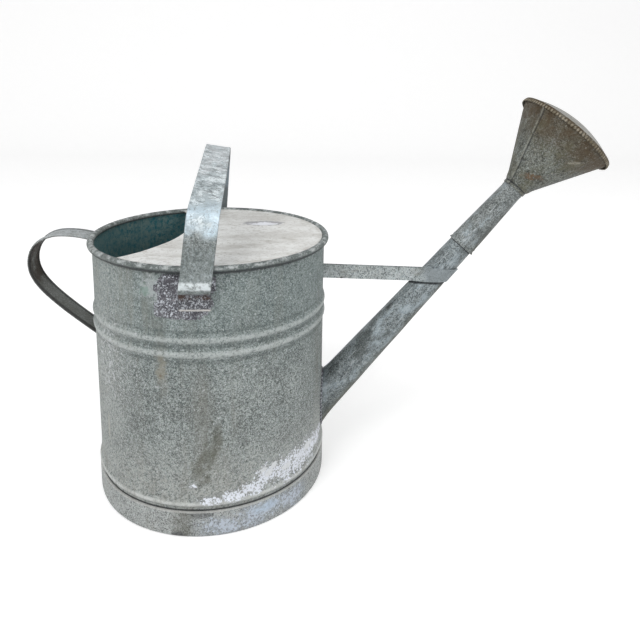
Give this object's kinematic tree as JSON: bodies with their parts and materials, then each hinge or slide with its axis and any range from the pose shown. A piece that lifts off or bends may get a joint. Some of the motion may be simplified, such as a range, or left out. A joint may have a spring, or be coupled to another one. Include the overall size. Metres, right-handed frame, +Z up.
{
  "type": "watering can",
  "caption": "Weathered galvanised sheet watering can with half-covered mouth, carry handle, rear handle, braced spout and removable domed rose.",
  "frame": {"origin": "middle of the whole can's footprint, on the ground under the foot band", "axes": "+Z up; +X from the rear handle towards the spout and rose; +Y away from the picture's viewer"},
  "size_m": [0.6088, 0.2624, 0.4169],
  "materials": {
    "wall_zinc": "dull grey-green weathered galvanised sheet, mottled, with white bloom low down",
    "deck_zinc": "pale chalky weathered galvanised sheet",
    "spout_zinc": "blue-grey galvanised sheet with streaks and scratches",
    "rose_zinc": "dark olive-brown zinc with a little rust at the crimp",
    "handle_zinc": "white-washed mottled galvanised strip",
    "solder": "dark crusted solder",
    "wire_steel": "dull drawn wire"
  },
  "bodies": {
    "can": {"body_wall": "wall_zinc", "rim_wire": "wire_steel", "foot_band": "wall_zinc", "base_disc": "wall_zinc", "deck_plate": "deck_zinc", "spout_tube": "spout_zinc", "spout_root_solder": "solder", "spout_brace": "handle_zinc", "carry_handle": "handle_zinc", "front_lug_plate": "solder", "back_lug_plate": "solder", "rear_handle": "handle_zinc"},
    "rose": {"rose_socket": "spout_zinc", "rose_cone": "rose_zinc", "rose_face": "rose_zinc"}
  },
  "joints": [
    {"name": "rose_pull", "type": "slide", "parent": "can", "child": "rose", "axis": [0.6494, 0, 0.7604], "range_m": [0, 0.036]}
  ]
}
